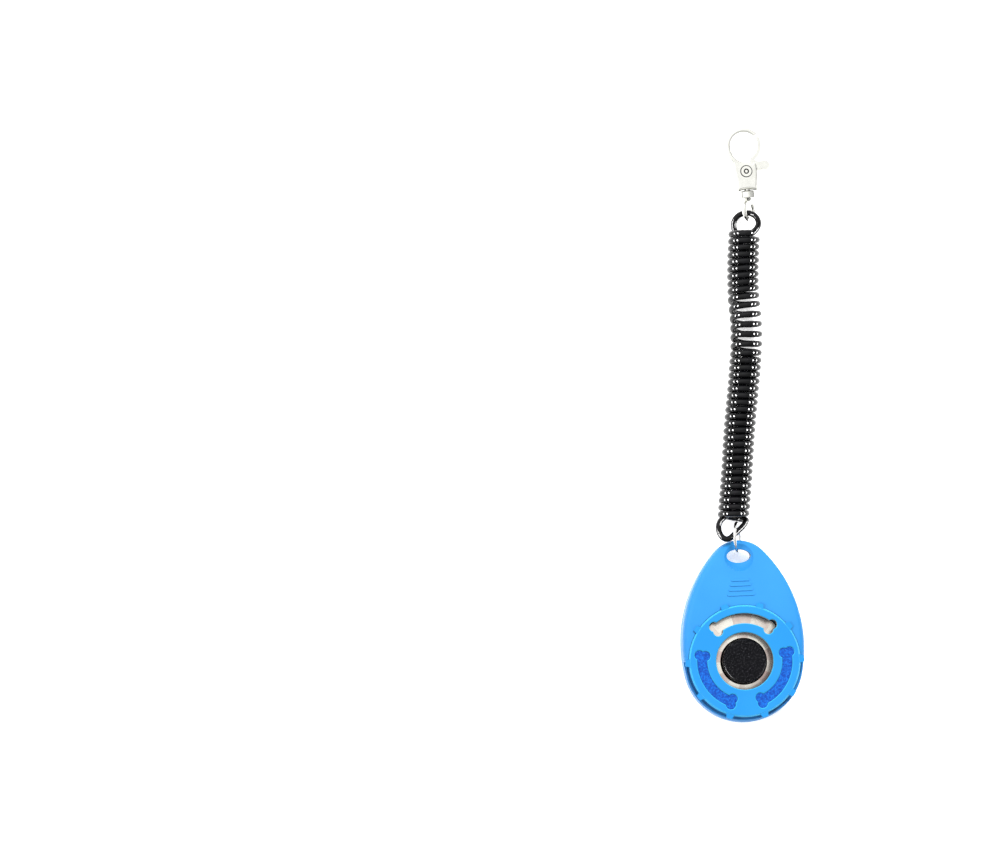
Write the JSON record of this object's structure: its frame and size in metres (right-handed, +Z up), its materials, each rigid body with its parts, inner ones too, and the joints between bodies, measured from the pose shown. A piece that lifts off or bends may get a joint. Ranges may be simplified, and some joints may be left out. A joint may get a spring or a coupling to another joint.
{
  "type": "clicker trainer",
  "caption": "Egg-shaped dog-training clicker with a black push button, a notched blue sound dial and a curly cord lanyard ending in a swivel trigger clasp.",
  "frame": {"origin": "on the dial and button axis, on the plane the casing's flat back rests on", "axes": "+X to the right, +Y towards the lanyard and clasp, +Z up through the button"},
  "size_m": [0.0436, 0.213, 0.0135],
  "materials": {
    "casing": "satin moulded light blue plastic",
    "dial": "satin moulded blue plastic",
    "inlay": "textured darker blue plastic",
    "button": "fine-grained black plastic",
    "inner_plastic": "plain dark plastic",
    "spring_steel": "rolled spring steel",
    "screw_steel": "plated steel",
    "plated_wire": "bright plated wire",
    "cord": "glossy black extruded plastic",
    "plated_casting": "bright plated die casting"
  },
  "bodies": {
    "root": {"front_shell": "casing", "rear_shell": "casing", "shell_screws": "screw_steel", "detent_spring": "spring_steel", "sound_plate": "spring_steel", "mechanism_frame": "inner_plastic", "snap_dome": "spring_steel", "dome_cup": "inner_plastic"},
    "dial": {"dial": "dial", "bone_inlay_left": "inlay", "bone_inlay_right": "inlay", "dial_keeper": "inner_plastic"},
    "button": {"push_button": "button"},
    "jump_ring": {"jump_ring": "plated_wire"},
    "lanyard": {"lanyard_lower_loop": "cord", "lanyard_coil": "cord", "lanyard_upper_loop": "cord"},
    "eye": {"clasp_eye": "plated_casting"},
    "clasp": {"clasp_body": "plated_casting", "clasp_rivet": "plated_casting", "clasp_spring": "spring_steel"},
    "trigger": {"clasp_trigger": "plated_casting"}
  },
  "joints": [
    {"name": "dial_turn", "type": "hinge", "parent": "root", "child": "dial", "pos_m": [0, 0, 0.0109], "axis": [0, 0, 1], "range_deg": [-120, 120], "deforming": ["detent_spring"]},
    {"name": "button_press", "type": "slide", "parent": "root", "child": "button", "axis": [0, 0, -1], "range_m": [0, 0.0013], "stiffness_N_per_m": 1500, "deforming": ["snap_dome"]},
    {"name": "ring_swing", "type": "hinge", "parent": "root", "child": "jump_ring", "pos_m": [0, 0.0417, 0.00597], "axis": [1, 0, 0], "range_deg": [-45, 45]},
    {"name": "lanyard_swing", "type": "hinge", "parent": "jump_ring", "child": "lanyard", "pos_m": [0, 0.0466, 0.00835], "axis": [0, 0, 1], "range_deg": [-12, 6]},
    {"name": "eye_swing", "type": "hinge", "parent": "lanyard", "child": "eye", "pos_m": [0.0095, 0.1607, 0.00405], "axis": [1, 0, 0], "range_deg": [-35, 35]},
    {"name": "clasp_swivel", "type": "hinge", "parent": "eye", "child": "clasp", "pos_m": [0.00974, 0.1673, 0.00385], "axis": [-0.0297, 0.9996, 0], "continuous": true},
    {"name": "trigger_open", "type": "hinge", "parent": "clasp", "child": "trigger", "pos_m": [0.0095, 0.1755, 0.00385], "axis": [0, 0, 1], "range_deg": [0, 22], "stiffness_Nm_per_rad": 0.004}
  ]
}
